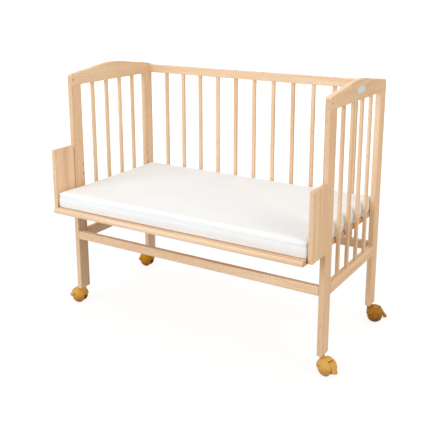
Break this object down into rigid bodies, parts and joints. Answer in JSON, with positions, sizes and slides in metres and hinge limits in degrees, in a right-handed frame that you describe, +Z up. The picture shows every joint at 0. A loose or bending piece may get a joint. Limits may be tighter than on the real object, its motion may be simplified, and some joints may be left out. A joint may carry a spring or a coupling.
{
  "type": "bedside sleeper crib",
  "caption": "Wooden bedside sleeper crib with slatted sides, one open side, a lift-off base with mattress and side boards, and swivel casters with brakes.",
  "frame": {"origin": "On the floor, under the middle of the crib's plan, from the front edge of the base panel to the back casters.", "axes": "+Z up, +X along the crib's length to the right seen from the open side, +Y from the open front side to the slatted back."},
  "size_m": [1.0385, 0.5687, 0.844],
  "materials": {
    "beech": "clear-varnished beech, satin",
    "caster_plastic": "moulded amber-brown plastic",
    "steel": "zinc-plated steel",
    "spacer_rubber": "black rubber strip",
    "cover_fabric": "white quilted cotton cover",
    "foam": "open foam"
  },
  "bodies": {
    "frame": {"left_front_post": "beech", "left_back_post": "beech", "right_front_post": "beech", "right_back_post": "beech", "left_top_rail": "beech", "left_bottom_rail": "beech", "left_slat_1": "beech", "left_slat_2": "beech", "left_slat_3": "beech", "left_slat_4": "beech", "right_top_rail": "beech", "right_bottom_rail": "beech", "right_slat_1": "beech", "right_slat_2": "beech", "right_slat_3": "beech", "right_slat_4": "beech", "back_slat_1": "beech", "back_slat_2": "beech", "back_slat_3": "beech", "back_slat_4": "beech", "back_slat_5": "beech", "back_slat_6": "beech", "back_slat_7": "beech", "back_slat_8": "beech", "back_slat_9": "beech", "back_slat_10": "beech", "back_slat_11": "beech", "back_top_rail": "beech", "back_bottom_rail": "beech", "front_stretcher": "beech", "rail_dowels": "beech", "support_pegs": "steel", "caster_stems": "steel"},
    "base": {"base_panel": "beech", "left_side_board": "beech", "right_side_board": "beech", "board_spacers": "spacer_rubber", "board_dowels": "beech", "mattress_cover": "cover_fabric", "mattress_core": "foam"},
    "left_front_caster": {"left_front_caster_housing": "caster_plastic", "left_front_caster_axle": "steel"},
    "left_front_wheel_1": {"left_front_caster_wheel_1": "caster_plastic"},
    "left_front_wheel_2": {"left_front_caster_wheel_2": "caster_plastic"},
    "left_front_brake": {"left_front_caster_brake_pedal": "caster_plastic"},
    "left_back_caster": {"left_back_caster_housing": "caster_plastic", "left_back_caster_axle": "steel"},
    "left_back_wheel_1": {"left_back_caster_wheel_1": "caster_plastic"},
    "left_back_wheel_2": {"left_back_caster_wheel_2": "caster_plastic"},
    "left_back_brake": {"left_back_caster_brake_pedal": "caster_plastic"},
    "right_front_caster": {"right_front_caster_housing": "caster_plastic", "right_front_caster_axle": "steel"},
    "right_front_wheel_1": {"right_front_caster_wheel_1": "caster_plastic"},
    "right_front_wheel_2": {"right_front_caster_wheel_2": "caster_plastic"},
    "right_front_brake": {"right_front_caster_brake_pedal": "caster_plastic"},
    "right_back_caster": {"right_back_caster_housing": "caster_plastic", "right_back_caster_axle": "steel"},
    "right_back_wheel_1": {"right_back_caster_wheel_1": "caster_plastic"},
    "right_back_wheel_2": {"right_back_caster_wheel_2": "caster_plastic"},
    "right_back_brake": {"right_back_caster_brake_pedal": "caster_plastic"}
  },
  "joints": [
    {"name": "base_lift", "type": "slide", "parent": "frame", "child": "base", "axis": [0, 0, 1], "range_m": [0, 0.128]},
    {"name": "left_front_caster_swivel", "type": "hinge", "parent": "frame", "child": "left_front_caster", "pos_m": [-0.461, -0.14825, 0.06], "axis": [0, 0, 1], "continuous": true},
    {"name": "left_front_wheel_1_spin", "type": "hinge", "parent": "left_front_caster", "child": "left_front_wheel_1", "pos_m": [-0.47981, -0.15089, 0.025], "axis": [0.1392, -0.9903, 0], "continuous": true},
    {"name": "left_front_wheel_2_spin", "type": "hinge", "parent": "left_front_caster", "child": "left_front_wheel_2", "pos_m": [-0.47981, -0.15089, 0.025], "axis": [0.1392, -0.9903, 0], "continuous": true},
    {"name": "left_front_brake_press", "type": "hinge", "parent": "left_front_caster", "child": "left_front_brake", "pos_m": [-0.49801, -0.15345, 0.04613], "axis": [0.1392, -0.9903, 0], "range_deg": [0, 8]},
    {"name": "left_back_caster_swivel", "type": "hinge", "parent": "frame", "child": "left_back_caster", "pos_m": [-0.461, 0.24725, 0.06], "axis": [0, 0, 1], "continuous": true},
    {"name": "left_back_wheel_1_spin", "type": "hinge", "parent": "left_back_caster", "child": "left_back_wheel_1", "pos_m": [-0.48, 0.24725, 0.025], "axis": [0, -1, 0], "continuous": true},
    {"name": "left_back_wheel_2_spin", "type": "hinge", "parent": "left_back_caster", "child": "left_back_wheel_2", "pos_m": [-0.48, 0.24725, 0.025], "axis": [0, -1, 0], "continuous": true},
    {"name": "left_back_brake_press", "type": "hinge", "parent": "left_back_caster", "child": "left_back_brake", "pos_m": [-0.49837, 0.24725, 0.04613], "axis": [0, -1, 0], "range_deg": [0, 8]},
    {"name": "right_front_caster_swivel", "type": "hinge", "parent": "frame", "child": "right_front_caster", "pos_m": [0.461, -0.14825, 0.06], "axis": [0, 0, 1], "continuous": true},
    {"name": "right_front_wheel_1_spin", "type": "hinge", "parent": "right_front_caster", "child": "right_front_wheel_1", "pos_m": [0.47885, -0.15475, 0.025], "axis": [0.342, 0.9397, 0], "continuous": true},
    {"name": "right_front_wheel_2_spin", "type": "hinge", "parent": "right_front_caster", "child": "right_front_wheel_2", "pos_m": [0.47885, -0.15475, 0.025], "axis": [0.342, 0.9397, 0], "continuous": true},
    {"name": "right_front_brake_press", "type": "hinge", "parent": "right_front_caster", "child": "right_front_brake", "pos_m": [0.49612, -0.16103, 0.04613], "axis": [0.342, 0.9397, 0], "range_deg": [0, 8]},
    {"name": "right_back_caster_swivel", "type": "hinge", "parent": "frame", "child": "right_back_caster", "pos_m": [0.461, 0.24725, 0.06], "axis": [0, 0, 1], "continuous": true},
    {"name": "right_back_wheel_1_spin", "type": "hinge", "parent": "right_back_caster", "child": "right_back_wheel_1", "pos_m": [0.47885, 0.25375, 0.025], "axis": [-0.342, 0.9397, 0], "continuous": true},
    {"name": "right_back_wheel_2_spin", "type": "hinge", "parent": "right_back_caster", "child": "right_back_wheel_2", "pos_m": [0.47885, 0.25375, 0.025], "axis": [-0.342, 0.9397, 0], "continuous": true},
    {"name": "right_back_brake_press", "type": "hinge", "parent": "right_back_caster", "child": "right_back_brake", "pos_m": [0.49612, 0.26003, 0.04613], "axis": [-0.342, 0.9397, 0], "range_deg": [0, 8]}
  ]
}
